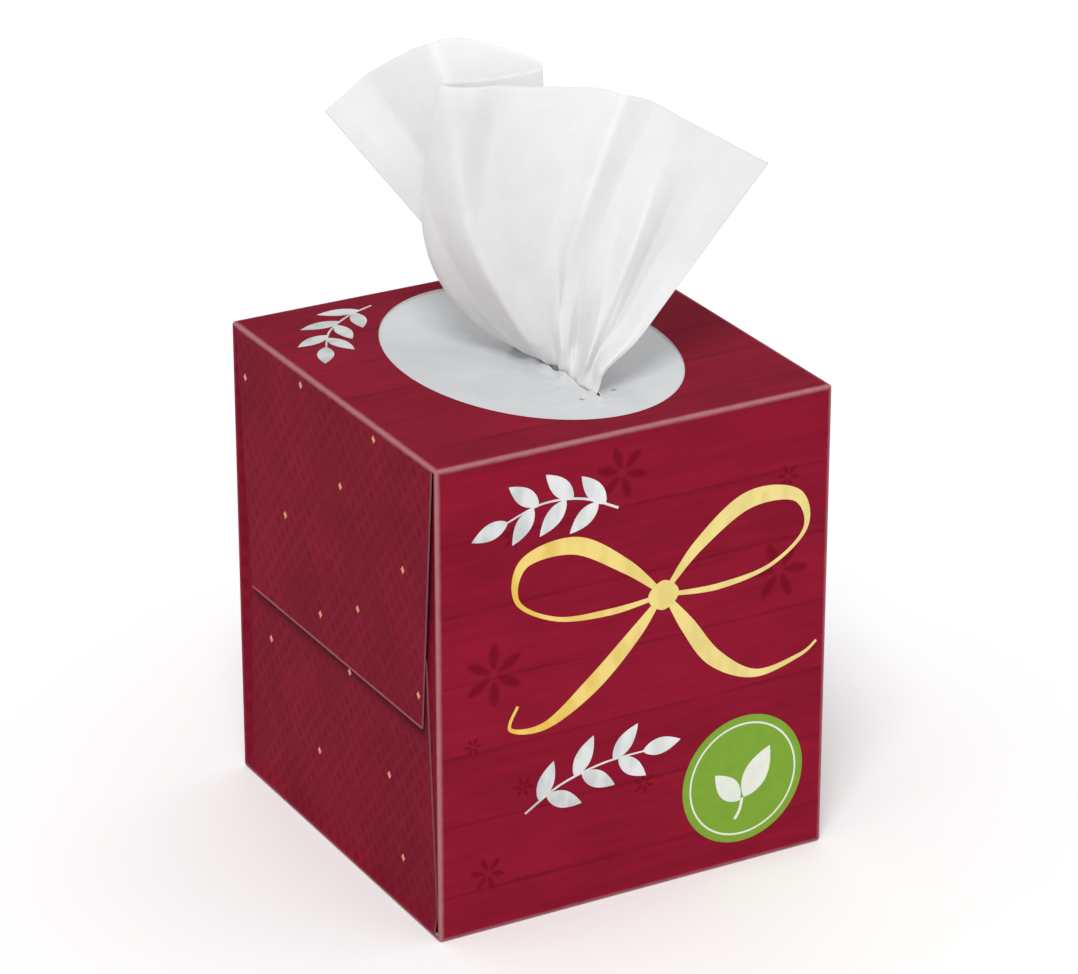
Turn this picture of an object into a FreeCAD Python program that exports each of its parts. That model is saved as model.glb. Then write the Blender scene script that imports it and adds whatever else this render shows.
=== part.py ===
"""Upright tissue carton, closed, with one tissue drawn up through its film window.

The frame is in millimetres, +Z up, with the origin under the middle of the bottom panel.
The front panel faces -Y, and the two ends closed by glued flaps face -X and +X.
"""
import FreeCAD, Part
import math
import os
import re
import Sketcher

V = FreeCAD.Vector
os.makedirs("parts", exist_ok=True)
doc = FreeCAD.newDocument("TissueCarton")
sheet = doc.addObject("Spreadsheet::Sheet", "Sizes")

# Driving sizes, each with the reason for its name
SIZES = {
    # Carton, over its outside faces
    "carton_width": 111.0,
    "carton_depth": 111.0,
    "carton_height": 127.0,
    "board": 0.45,
    "inner_fold": 0.5,
    # Outermost flap of each end, hinged on the top panel
    "top_flap_length": 71.5,
    "top_flap_root_inset": 2.5,
    "top_flap_end_inset": 8.5,
    # Bead of glue that holds the top flap off the flaps under it
    "flap_glue": 0.5,
    # Flap under it, hinged on the bottom panel
    "bottom_flap_length": 74.0,
    "bottom_flap_root_inset": 3.5,
    "bottom_flap_end_inset": 8.0,
    # Innermost flaps, hinged on the front and back panels
    "dust_flap_length": 42.0,
    "dust_flap_root_gap": 0.6,
    "dust_flap_end_gap": 7.0,
    # Run over which a flap steps in from its fold to the layer it lies in
    "step_run": 5.0,
    # Seam flap, glued inside the back panel
    "seam_flap_height": 14.0,
    "seam_flap_end_gap": 4.0,
    # Oval opening in the top panel
    "opening_width": 69.8,
    "opening_length": 96.4,
    "opening_x": 1.5,
    "opening_y": 1.0,
    # Film window, glued under the top panel
    "film": 0.1,
    "film_side_margin": 9.0,
    "film_end_margin": 4.5,
    "slit_length": 70.0,
    "slit_gape": 9.0,
    # Folded stack of tissues that stands in the carton as an arch
    "stack_side_gap": 2.0,
    "stack_headroom": 14.0,
    "stack_shoulder": 34.0,
    # Drawn-up tissue
    "tissue": 0.3,
    "tissue_seat": 0.3,
    "tissue_rise": 68.5,
    "tissue_reach": 60.0,
    "slit_play": 0.5,
    "pleat_depth": 5.6,
    "edge_wave": 1.2,
    "fold_belly": 9.0,
}
for row, (name, value) in enumerate(SIZES.items(), start=1):
    sheet.set("A%d" % row, name.replace("_", " "))
    sheet.set("B%d" % row, str(value))
    sheet.setAlias("B%d" % row, name)
doc.recompute()


def size(name):
    """The number that a named cell of the sheet holds."""
    return float(sheet.get(name))


def bound(formula):
    """A formula written in size names, as an expression on the sheet's cells."""
    return re.sub(r"[a-z][a-z_]*", lambda word: "Sizes." + word.group(0), formula)


def new_body(name):
    body = doc.addObject("PartDesign::Body", name)
    body.Label = name
    return body


def origin_plane(body, role):
    return [f for f in body.Origin.OriginFeatures if f.Role == role][0]


def new_sketch(body, name, role, offset="0"):
    """A sketch on an origin plane, moved along the plane's normal by a formula."""
    sketch = body.newObject("Sketcher::SketchObject", name)
    sketch.AttachmentSupport = [(origin_plane(body, role), "")]
    sketch.MapMode = "FlatFace"
    if offset != "0":
        sketch.setExpression("AttachmentOffset.Base.z", bound(offset))
    return sketch


def pin_point(sketch, edge, end, across, up):
    """Ties a point of the sketch to two formulas, measured from the origin."""
    for kind, formula in (("DistanceX", across), ("DistanceY", up)):
        index = sketch.addConstraint(Sketcher.Constraint(kind, -1, 1, edge, end, 1.0))
        sketch.setExpression("Constraints[%d]" % index, bound(formula))


def draw_outline(sketch, corners):
    """A closed outline of straight edges through the corners, each a pair of formulas."""
    first = sketch.GeometryCount
    count = len(corners)
    ring = []
    for i in range(count):
        turn = 2 * math.pi * i / count
        ring.append(V(10 * math.cos(turn), 10 * math.sin(turn), 0))
    for i in range(count):
        sketch.addGeometry(Part.LineSegment(ring[i], ring[(i + 1) % count]), False)
    for i in range(count):
        follower = first + (i + 1) % count
        sketch.addConstraint(Sketcher.Constraint("Coincident", first + i, 2, follower, 1))
    for i, (across, up) in enumerate(corners):
        pin_point(sketch, first + i, 1, across, up)


def draw_oval(sketch, across, up, half_width, half_length):
    """An ellipse with its long axis up the sketch."""
    start = V(0, 20, 0)
    side = V(10, 0, 0)
    oval = sketch.addGeometry(Part.Ellipse(start, side, V(0, 0, 0)), False)
    sketch.exposeInternalGeometry(oval)
    pin_point(sketch, oval, 3, across, up)
    sketch.addConstraint(Sketcher.Constraint("Vertical", oval + 1))
    for axis, half in ((oval + 1, half_length), (oval + 2, half_width)):
        index = sketch.addConstraint(Sketcher.Constraint("Distance", axis, 20.0))
        sketch.setExpression("Constraints[%d]" % index, bound("2 * (%s)" % half))


def pad(body, name, sketch, length, both_ways=False, reverse=False):
    feature = body.newObject("PartDesign::Pad", name)
    feature.Profile = sketch
    feature.SideType = "Symmetric" if both_ways else "One side"
    feature.Reversed = reverse
    feature.setExpression("Length", bound(length))
    doc.recompute()
    return feature


def pocket(body, name, sketch, length=None, both_ways=False, reverse=False):
    """A cut along the sketch's normal; no length cuts right through."""
    before = body.Shape.Volume
    feature = body.newObject("PartDesign::Pocket", name)
    feature.Profile = sketch
    feature.SideType = "Symmetric" if both_ways else "One side"
    feature.Reversed = reverse
    if length is None:
        feature.Type = "ThroughAll"
    else:
        feature.setExpression("Length", bound(length))
    doc.recompute()
    if not body.Shape.Volume < before - 1e-6:
        raise RuntimeError(name + " cuts nothing")
    return feature


def fillet(body, name, base, edge_names, radius):
    feature = body.newObject("PartDesign::Fillet", name)
    feature.Base = (base, edge_names)
    feature.setExpression("Radius", bound(radius))
    doc.recompute()
    return feature


def edges_where(shape, test):
    """Names of the straight edges whose middle and direction pass the test."""
    names = []
    for number, edge in enumerate(shape.Edges, start=1):
        if edge.Degenerated or edge.Curve.TypeId != "Part::GeomLine":
            continue
        middle = edge.valueAt((edge.FirstParameter + edge.LastParameter) / 2)
        along = edge.tangentAt(edge.FirstParameter)
        if test(middle, along):
            names.append("Edge%d" % number)
    return names


def near(a, b):
    return abs(a - b) < 1e-4


# Carton: one printed blank, folded into a tube along X and closed at both ends.
# Its walls are the outer block less the inside, with every fold rounded.
carton = new_body("carton")
block = carton.newObject("PartDesign::AdditiveBox", "outer_block")
block.setExpression("Length", bound("carton_width"))
block.setExpression("Width", bound("carton_depth"))
block.setExpression("Height", bound("carton_height"))
block.AttachmentSupport = [(origin_plane(carton, "XY_Plane"), "")]
block.MapMode = "FlatFace"
block.setExpression("AttachmentOffset.Base.x", bound("-carton_width / 2"))
block.setExpression("AttachmentOffset.Base.y", bound("-carton_depth / 2"))
doc.recompute()
all_edges = ["Edge%d" % n for n in range(1, len(block.Shape.Edges) + 1)]
outer_folds = fillet(carton, "outer_folds", block, all_edges, "inner_fold + board")

inside = carton.newObject("PartDesign::SubtractiveBox", "inside")
inside.setExpression("Length", bound("carton_width - 2 * board"))
inside.setExpression("Width", bound("carton_depth - 2 * board"))
inside.setExpression("Height", bound("carton_height - 2 * board"))
inside.AttachmentSupport = [(origin_plane(carton, "XY_Plane"), "")]
inside.MapMode = "FlatFace"
inside.setExpression("AttachmentOffset.Base.x", bound("board - carton_width / 2"))
inside.setExpression("AttachmentOffset.Base.y", bound("board - carton_depth / 2"))
inside.setExpression("AttachmentOffset.Base.z", bound("board"))
doc.recompute()


def on_inside_corner(middle, along):
    half_x = size("carton_width") / 2 - size("board")
    half_y = size("carton_depth") / 2 - size("board")
    low, high = size("board"), size("carton_height") - size("board")
    walls = [near(abs(middle.x), half_x), near(abs(middle.y), half_y)]
    walls.append(near(middle.z, low) or near(middle.z, high))
    return sum(walls) == 2


inner_edges = edges_where(inside.Shape, on_inside_corner)
inner_folds = fillet(carton, "inner_folds", inside, inner_edges, "inner_fold")

# The ends of the block are opened up to the folds, ready for the flaps.
end_sketch = new_sketch(carton, "end_outline", "YZ_Plane")
half_depth = "(carton_depth / 2 - inner_fold - board)"
draw_outline(end_sketch, [
    ("-" + half_depth, "inner_fold + board"),
    (half_depth, "inner_fold + board"),
    (half_depth, "carton_height - inner_fold - board"),
    ("-" + half_depth, "carton_height - inner_fold - board"),
])
pocket(carton, "open_ends", end_sketch, both_ways=True)

# Layers of the +X end, counted inwards: top flap, bottom flap, dust flaps.
FOLD = "inner_fold + board"
TOP_LAYER = "carton_width / 2"
BOTTOM_LAYER = "carton_width / 2 - board - flap_glue"
DUST_LAYER = "carton_width / 2 - 2 * board - flap_glue"


def add_dust_flap(side_name, sign):
    """A dust flap: it leaves its fold at the corner and steps in to the dust layer."""
    fold_y = "%s(carton_depth / 2 - %s)" % (sign, "inner_fold - board")
    step_y = "%s(carton_depth / 2 - inner_fold - board - step_run / 2)" % sign
    free_y = "%s(carton_depth / 2 - dust_flap_length)" % sign
    section = new_sketch(carton, side_name + "_dust_section", "XY_Plane",
                         "board + dust_flap_root_gap")
    draw_outline(section, [
        (TOP_LAYER, fold_y),
        (DUST_LAYER, step_y),
        (DUST_LAYER, free_y),
        (DUST_LAYER + " - board", free_y),
        (DUST_LAYER + " - board", step_y),
        (TOP_LAYER + " - board", fold_y),
    ])
    pad(carton, side_name + "_dust_flap", section,
        "carton_height - 2 * board - 2 * dust_flap_root_gap")
    trim = new_sketch(carton, side_name + "_dust_trim", "YZ_Plane", DUST_LAYER)
    low = "board + dust_flap_root_gap"
    high = "carton_height - board - dust_flap_root_gap"
    draw_outline(trim, [
        (step_y, low), (free_y, low), (free_y, low + " + dust_flap_end_gap"),
    ])
    draw_outline(trim, [
        (step_y, high), (free_y, high), (free_y, high + " - dust_flap_end_gap"),
    ])
    pocket(carton, side_name + "_dust_taper", trim, "board")


add_dust_flap("front", "-")
add_dust_flap("back", "")

# Bottom flap, over the dust flaps.
bottom_section = new_sketch(carton, "bottom_flap_section", "XZ_Plane")
draw_outline(bottom_section, [
    (TOP_LAYER, FOLD),
    (BOTTOM_LAYER, FOLD + " + step_run"),
    (BOTTOM_LAYER, "bottom_flap_length"),
    (DUST_LAYER, "bottom_flap_length"),
    (DUST_LAYER, FOLD + " + step_run"),
    (TOP_LAYER + " - board", FOLD),
])
pad(carton, "bottom_flap", bottom_section,
    "carton_depth - 2 * bottom_flap_root_inset", both_ways=True)
bottom_trim = new_sketch(carton, "bottom_flap_trim", "YZ_Plane", BOTTOM_LAYER)
for sign in ("-", ""):
    root = sign + "(carton_depth / 2 - bottom_flap_root_inset)"
    free = sign + "(carton_depth / 2 - bottom_flap_end_inset)"
    draw_outline(bottom_trim, [
        (root, FOLD + " + step_run"), (root, "bottom_flap_length"), (free, "bottom_flap_length"),
    ])
pocket(carton, "bottom_flap_taper", bottom_trim, "board")

# Top flap, outermost, straight down from the top fold.
top_flap = new_sketch(carton, "top_flap_outline", "YZ_Plane", TOP_LAYER)
root_half = "(carton_depth / 2 - top_flap_root_inset)"
free_half = "(carton_depth / 2 - top_flap_end_inset)"
draw_outline(top_flap, [
    ("-" + root_half, "carton_height - inner_fold - board"),
    ("-" + free_half, "carton_height - top_flap_length"),
    (free_half, "carton_height - top_flap_length"),
    (root_half, "carton_height - inner_fold - board"),
])
pad(carton, "top_flap", top_flap, "board", reverse=True)

# The -X end is the same, so the whole carton is mirrored.
ends = carton.newObject("PartDesign::Mirrored", "both_ends")
ends.TransformMode = "Whole shape"
ends.MirrorPlane = (origin_plane(carton, "YZ_Plane"), [""])
carton.Tip = ends
doc.recompute()

# Seam flap: folded up from the bottom panel and glued inside the back panel.
seam = new_sketch(carton, "seam_flap_outline", "XZ_Plane",
                  "2 * board - carton_depth / 2")
seam_half = "(carton_width / 2 - 3 * board - flap_glue - seam_flap_end_gap)"
draw_outline(seam, [
    ("-" + seam_half, "board"),
    (seam_half, "board"),
    (seam_half + " - seam_flap_height / 3", "seam_flap_height"),
    ("-" + seam_half + " + seam_flap_height / 3", "seam_flap_height"),
])
pad(carton, "seam_flap", seam, "board", reverse=True)

# Oval opening of the top panel.
opening = new_sketch(carton, "opening_outline", "XY_Plane", "carton_height")
draw_oval(opening, "opening_x", "opening_y", "opening_width / 2", "opening_length / 2")
pocket(carton, "opening", opening, "2 * board")

# Film window: a rectangle of clear film glued under the top panel, slit along its middle.
window_film = new_body("window_film")
film_outline = new_sketch(window_film, "film_outline", "XY_Plane",
                          "carton_height - board - film")
film_half_x = "(opening_width / 2 + film_side_margin)"
film_half_y = "(opening_length / 2 + film_end_margin)"
draw_outline(film_outline, [
    ("opening_x - " + film_half_x, "opening_y - " + film_half_y),
    ("opening_x + " + film_half_x, "opening_y - " + film_half_y),
    ("opening_x + " + film_half_x, "opening_y + " + film_half_y),
    ("opening_x - " + film_half_x, "opening_y + " + film_half_y),
])
pad(window_film, "film_sheet", film_outline, "film")
slit = new_sketch(window_film, "slit_outline", "XY_Plane", "carton_height")
draw_oval(slit, "opening_x", "opening_y", "slit_gape / 2", "slit_length / 2")
pocket(window_film, "slit", slit)

# Stack: interfolded tissues bent over into an arch, with its two legs pressed together.
tissue_stack = new_body("tissue_stack")
crest = "(carton_height - board - stack_headroom)"
stack_half = "(carton_depth / 2 - 2 * board - stack_side_gap)"
arch = new_sketch(tissue_stack, "arch_section", "YZ_Plane")
draw_outline(arch, [
    ("-" + stack_half, "board"),
    (stack_half, "board"),
    (stack_half, crest),
    ("-" + stack_half, crest),
])
arch_pad = pad(tissue_stack, "arch", arch,
               "carton_width - 6 * board - 2 * flap_glue - 2 * stack_side_gap", both_ways=True)


def on_shoulder(middle, along):
    return abs(along.x) > 0.9 and middle.z > size("carton_height") / 2


shoulders = edges_where(arch_pad.Shape, on_shoulder)
fillet(tissue_stack, "shoulders", arch_pad, shoulders, "stack_shoulder")

# Drawn-up tissue: gathered in the slit, fanned out above it in an S-fold.
# The fan lies square to a line that is turned from the front, along "fan_right".
FAN_TURN = math.radians(29.2)
fan_right = V(math.cos(FAN_TURN), -math.sin(FAN_TURN), 0)
fan_back = V(math.sin(FAN_TURN), math.cos(FAN_TURN), 0)

# Free edge of the tissue from its back corner to its front corner:
# share of the width, place to the right and to the back (in shares of the reach),
# and height (in shares of the rise).
FREE_EDGE = [
    (0.00, -0.86, 0.37, 0.81),
    (0.09, -0.63, 0.35, 0.98),
    (0.18, -0.38, 0.32, 1.11),
    (0.26, -0.14, 0.30, 1.08),
    (0.31, 0.05, 0.23, 1.03),
    (0.37, -0.12, 0.15, 1.01),
    (0.43, -0.37, 0.10, 1.00),
    (0.49, -0.20, 0.03, 1.00),
    (0.62, 0.12, 0.02, 1.01),
    (0.76, 0.42, 0.00, 0.99),
    (0.88, 0.70, 0.00, 0.86),
    (1.00, 0.98, -0.02, 0.73),
]
free_edge = Part.BSplineCurve()
free_edge.interpolate(
    Points=[V(right, back, up) for _, right, back, up in FREE_EDGE],
    Parameters=[share for share, _, _, _ in FREE_EDGE],
)
PLEATS = 8
COLUMNS = 12 * PLEATS
RISES = [-1.0, -0.5, 0.0, 0.06, 0.13, 0.22, 0.32, 0.44, 0.56, 0.68, 0.79, 0.9, 1.0]
# The back layers crowd into the rear end of the slit, and the front layer fills the rest.
CROWDING = 1.8
FOLD_AT = 0.43
FOLD_SPREAD = 0.08


def arch_top(y):
    """Height of the stack's top above a place along Y."""
    shoulder = size("stack_shoulder")
    level = size("carton_depth") / 2 - 2 * size("board") - size("stack_side_gap") - shoulder
    beyond = max(0.0, abs(y) - level)
    top = size("carton_height") - size("board") - size("stack_headroom")
    return top - shoulder + math.sqrt(shoulder ** 2 - beyond ** 2)


def sheet_point(across, rise):
    """A point of the tissue's middle layer: across runs 0 to 1 along its width, and rise
    is -1 at its foot on the stack, 0 in the slit and 1 at its free edge."""
    film_top = size("carton_height") - size("board")
    centre = V(size("opening_x"), size("opening_y"), film_top)
    share = across ** CROWDING
    wave = math.sin(2 * math.pi * PLEATS * across)
    swing = size("pleat_depth") / 2 * 4 * share * (1 - share) * wave
    half_slit = size("slit_length") / 2 - 2 * size("slit_play")
    gather = centre + V(swing, half_slit * (1 - 2 * share), 0)
    if rise <= 0:
        return gather + V(0, 0, rise * (film_top - arch_top(gather.y) - size("tissue_seat")))
    edge = free_edge.value(across)
    top = centre + fan_right * (edge.x * size("tissue_reach"))
    top = top + fan_back * (edge.y * size("tissue_reach") + size("edge_wave") * wave)
    top = top + V(0, 0, edge.z * size("tissue_rise"))
    spread = top - gather
    out = rise ** 1.1
    point = gather + V(spread.x * out, spread.y * out, spread.z * rise)
    # The front layer's fold bellies out to the left between the slit and the free edge.
    belly = math.exp(-((across - FOLD_AT) / FOLD_SPREAD) ** 2) * math.sin(math.pi * rise ** 0.6)
    return point - fan_right * (size("fold_belly") * belly)


def creased_sheet(point_at, columns, rises, thickness):
    """A solid of flat facets: the sheet that point_at gives, with its thickness."""
    grid = [[point_at(i / columns, rise) for rise in rises] for i in range(columns + 1)]
    last = len(rises) - 1
    faces_of = {}
    for side in (-1, 1):
        points = []
        for i in range(columns + 1):
            line = []
            for j in range(last + 1):
                along = grid[min(i + 1, columns)][j] - grid[max(i - 1, 0)][j]
                up = grid[i][min(j + 1, last)] - grid[i][max(j - 1, 0)]
                normal = along.cross(up)
                normal.normalize()
                line.append(grid[i][j] + normal * (side * thickness / 2))
            points.append(line)
        faces_of[side] = points
    near_side, far_side = faces_of[-1], faces_of[1]
    facets = []

    def add_quad(a, b, c, d):
        facets.append([a, b, c])
        facets.append([a, c, d])

    for i in range(columns):
        for j in range(last):
            n, f = near_side, far_side
            add_quad(n[i][j], n[i][j + 1], n[i + 1][j + 1], n[i + 1][j])
            add_quad(f[i][j], f[i + 1][j], f[i + 1][j + 1], f[i][j + 1])
        for j in (0, last):
            a, b = near_side[i][j], near_side[i + 1][j]
            c, d = far_side[i + 1][j], far_side[i][j]
            if j == 0:
                add_quad(a, b, c, d)
            else:
                add_quad(d, c, b, a)
    for j in range(last):
        for i in (0, columns):
            a, b = near_side[i][j], near_side[i][j + 1]
            c, d = far_side[i][j + 1], far_side[i][j]
            if i == 0:
                add_quad(d, c, b, a)
            else:
                add_quad(a, b, c, d)
    faces = [Part.Face(Part.makePolygon(facet + [facet[0]])) for facet in facets]
    shell = Part.Compound(faces)
    shell.sewShape()
    solid = Part.Solid(shell.Shells[0])
    if solid.Volume < 0:
        solid.reverse()
    return solid


drawn_tissue = doc.addObject("Part::Feature", "drawn_tissue")
drawn_tissue.Label = "drawn_tissue"
drawn_tissue.Shape = creased_sheet(sheet_point, COLUMNS, RISES, size("tissue"))
drawn_tissue.Placement = FreeCAD.Placement()

doc.recompute()
for thing in doc.Objects:
    if "Invalid" in thing.State or "Error" in thing.State:
        raise RuntimeError("%s failed: %s" % (thing.Name, thing.State))
pieces = [carton, window_film, tissue_stack, drawn_tissue]
for piece in pieces:
    shape = piece.Shape
    if shape.isNull() or not shape.isValid() or len(shape.Solids) != 1:
        raise RuntimeError(piece.Label + " is not one valid solid")
    print(piece.Label, "volume %.1f" % shape.Volume, "faces", len(shape.Faces), shape.BoundBox)
for piece in pieces:
    piece.Shape.exportStep("parts/%s.step" % piece.Label)
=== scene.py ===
import inspect
import math

import bmesh
import bpy
from bpy.props import FloatProperty, FloatVectorProperty, PointerProperty
from mathutils import Matrix, Vector, noise


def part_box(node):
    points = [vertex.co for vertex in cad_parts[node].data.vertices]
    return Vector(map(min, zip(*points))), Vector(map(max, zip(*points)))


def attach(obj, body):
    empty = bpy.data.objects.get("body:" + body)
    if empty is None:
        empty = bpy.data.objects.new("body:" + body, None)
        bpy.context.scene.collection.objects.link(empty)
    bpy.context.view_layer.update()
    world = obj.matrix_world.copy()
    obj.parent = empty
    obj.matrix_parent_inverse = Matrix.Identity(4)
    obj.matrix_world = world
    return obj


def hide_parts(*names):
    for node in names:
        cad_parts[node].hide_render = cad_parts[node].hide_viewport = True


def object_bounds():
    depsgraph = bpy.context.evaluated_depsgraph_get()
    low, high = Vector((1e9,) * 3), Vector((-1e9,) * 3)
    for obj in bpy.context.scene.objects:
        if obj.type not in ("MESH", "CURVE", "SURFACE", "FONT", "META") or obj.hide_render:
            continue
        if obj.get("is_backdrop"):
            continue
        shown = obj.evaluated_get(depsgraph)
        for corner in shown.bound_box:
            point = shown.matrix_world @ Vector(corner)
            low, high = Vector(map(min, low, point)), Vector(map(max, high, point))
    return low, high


bl_info = {
    "name": "Tissue carton dressing",
    "version": (1, 0, 0),
    "blender": (4, 5, 0),
    "location": "View3D > Sidebar > Tissue carton",
    "description": "Prints the carton, adds its foil, film, stack and drawn tissue, and sets the stage",
    "category": "Object",
}

MM = 0.001
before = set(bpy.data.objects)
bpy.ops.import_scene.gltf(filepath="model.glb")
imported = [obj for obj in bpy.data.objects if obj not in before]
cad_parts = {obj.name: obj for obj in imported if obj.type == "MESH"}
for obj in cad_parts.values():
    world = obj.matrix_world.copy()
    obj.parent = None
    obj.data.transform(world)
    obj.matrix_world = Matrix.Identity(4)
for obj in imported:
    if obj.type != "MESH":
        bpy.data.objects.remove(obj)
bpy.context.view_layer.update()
CARTON_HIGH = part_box("carton")[1]
FILM_LOW, FILM_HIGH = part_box("window_film")
STACK_LOW, STACK_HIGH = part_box("tissue_stack")

# Shapes are laid out in millimetres, and the studio and the tissue's flat size are given in metres
HALF_WIDTH = CARTON_HIGH.x / MM
HALF_DEPTH = CARTON_HIGH.y / MM
HEIGHT = CARTON_HIGH.z / MM
FILM_TOP = FILM_HIGH.z / MM
OPENING_X = (FILM_LOW.x + FILM_HIGH.x) / 2 / MM
OPENING_Y = (FILM_LOW.y + FILM_HIGH.y) / 2 / MM
# Half the oval opening's width and length, and half the slit's length
OPENING_HALF_X = 34.9
OPENING_HALF_Y = 48.2
HALF_SLIT = 35.0
# How far the top flap of each end reaches down, and how much deeper the bottom flap lies
FLAP_DROP = 71.5
FLAP_STEP = 0.95
# How far in from an end its layers of flaps lie, and from another panel its outer face and its folds
FLAP_ZONE = 1.7
FOLD_ZONE = 1.2
# Radius over which the stack is bent at its front and back
STACK_SHOULDER = 34.0


def length(name, value, description):
    """A size that the sidebar shows, given here in millimetres."""
    return FloatProperty(name=name, default=value * MM, min=0.0, precision=5, unit="LENGTH",
                         description=description)


def paint(name, value, description):
    """A colour that the sidebar shows."""
    return FloatVectorProperty(name=name, default=value, size=4, min=0.0, max=1.0,
                               subtype="COLOR", description=description)


class CartonPrint(bpy.types.PropertyGroup):
    """Sizes and inks of the printed board."""
    front_ink: paint("Front ink", (0.25, 0.0095, 0.028, 1), "Ink of the front and back panels")
    # The side and top inks are the front's red made darker, painted shade for how the light falls on those
    # faces
    side_ink: paint("Side ink", (0.19, 0.0075, 0.022, 1), "Ink of the ends")
    top_ink: paint("Top ink", (0.225, 0.0095, 0.026, 1), "Ink of the top and bottom panels")
    flake_ink: paint("Snowflake ink", (0.155, 0.004, 0.013, 1), "Darker ink of the snowflakes")
    lattice_ink: paint("Lattice ink", (0.30, 0.016, 0.042, 1), "Lighter ink of the lattice on the ends")
    # The fold tint is rubbed print together with a painted highlight along the folds
    fold_tint: paint("Fold tint", (0.40, 0.162, 0.187, 1), "Rubbed print along the folds")
    cut_tint: paint("Cut edge", (0.29, 0.125, 0.145, 1), "Cut edges of the flaps, where the ink has run over")
    board_tint: paint("Board", (0.74, 0.72, 0.69, 1), "Unprinted board inside")
    plank: length("Plank", 19.0, "Height of a printed plank")
    lattice: length("Lattice", 5.0, "Width of a diamond of the lattice")
    # How far the folds' rubbed print and painted highlight reach
    rub: length("Rub", 1.25, "How far the rubbed print reaches from a fold")


class FoilOrnaments(bpy.types.PropertyGroup):
    """Sizes and colours of the foil ornaments and the roundel."""
    # Each foil runs from its colour to its pale colour across the panel, a painted reflection
    gold: paint("Gold", (0.78, 0.47, 0.03, 1), "Gold foil")
    pale_gold: paint("Pale gold", (0.76, 0.62, 0.22, 1), "Lighter end of the gold foil")
    silver: paint("Silver", (0.40, 0.43, 0.43, 1), "Silver foil")
    pale_silver: paint("Pale silver", (0.76, 0.79, 0.78, 1), "Lighter end of the silver foil")
    rose_gold: paint("Rose gold", (0.72, 0.33, 0.2, 1), "Small marks on the ends")
    green: paint("Green", (0.205, 0.37, 0.042, 1), "Roundel")
    leaf_white: paint("Leaf white", (0.78, 0.82, 0.72, 1), "Leaves and ring on the roundel")
    foil: length("Foil", 0.03, "Thickness of the foil over the print")
    roundel: length("Roundel radius", 17.7, "Radius of the green roundel")


class WindowFilm(bpy.types.PropertyGroup):
    """Sizes and colours of the film window."""
    tint: paint("Film", (0.635, 0.65, 0.665, 1), "Milky film")
    # The nicks' dark colour is painted shade seen through them
    nick: paint("Nick", (0.16, 0.16, 0.16, 1), "Nicks in the film beside the slit")
    film: length("Film thickness", 0.06, "Thickness of the film")
    slit_length: length("Slit length", 2 * HALF_SLIT, "Length of the slit")
    slit_gape: length("Slit gape", 1.3, "How far each lip stands from the slit's line at its middle")
    lip: length("Lip", 1.1, "How high the lips stand over the film")


class TissueSheets(bpy.types.PropertyGroup):
    """Sizes and colour of the drawn tissue and of the stack."""
    tint: paint("Tissue", (0.80, 0.80, 0.80, 1), "Tissue")
    rise: length("Rise", 68.5, "Height of the free edge over the film")
    reach: length("Reach", 60.0, "Half the width of the fan")
    belly: length("Belly", 16.0, "How far the front fold bellies to the left")
    ply: length("Ply", 0.16, "Thickness of the two plies")


class Studio(bpy.types.PropertyGroup):
    """Camera, floor and lights."""
    focal: FloatProperty(name="Focal length", default=154.12, min=1.0, unit="CAMERA",
                         description="Focal length of the camera")
    floor_tint: paint("Floor", (0.99, 0.99, 0.99, 1), "Pale floor")
    key: FloatProperty(name="Key light", default=1.5, min=0.0,
                       description="Strength of the soft light overhead, in watts per square metre")
    sky: FloatProperty(name="Surround", default=0.68, min=0.0,
                       description="Strength of the white surround")


# Shader trees


def sum_rule(operation, turned=False):
    """A rule that lets a Python sign stand for a math node."""
    def rule(self, other):
        first, second = (other, self) if turned else (self, other)
        return self.w.math(operation, first, second)
    return rule


class Value:
    """A value in a shader tree, with which sums are written as with a plain number."""
    __add__ = sum_rule("ADD")
    __sub__ = sum_rule("SUBTRACT")
    __rsub__ = sum_rule("SUBTRACT", turned=True)
    __mul__ = sum_rule("MULTIPLY")
    __truediv__ = sum_rule("DIVIDE")
    __pow__ = sum_rule("POWER")

    def __init__(self, w, socket):
        self.w = w
        self.socket = socket

    def __abs__(self):
        return self.w.math("ABSOLUTE", self)


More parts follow.
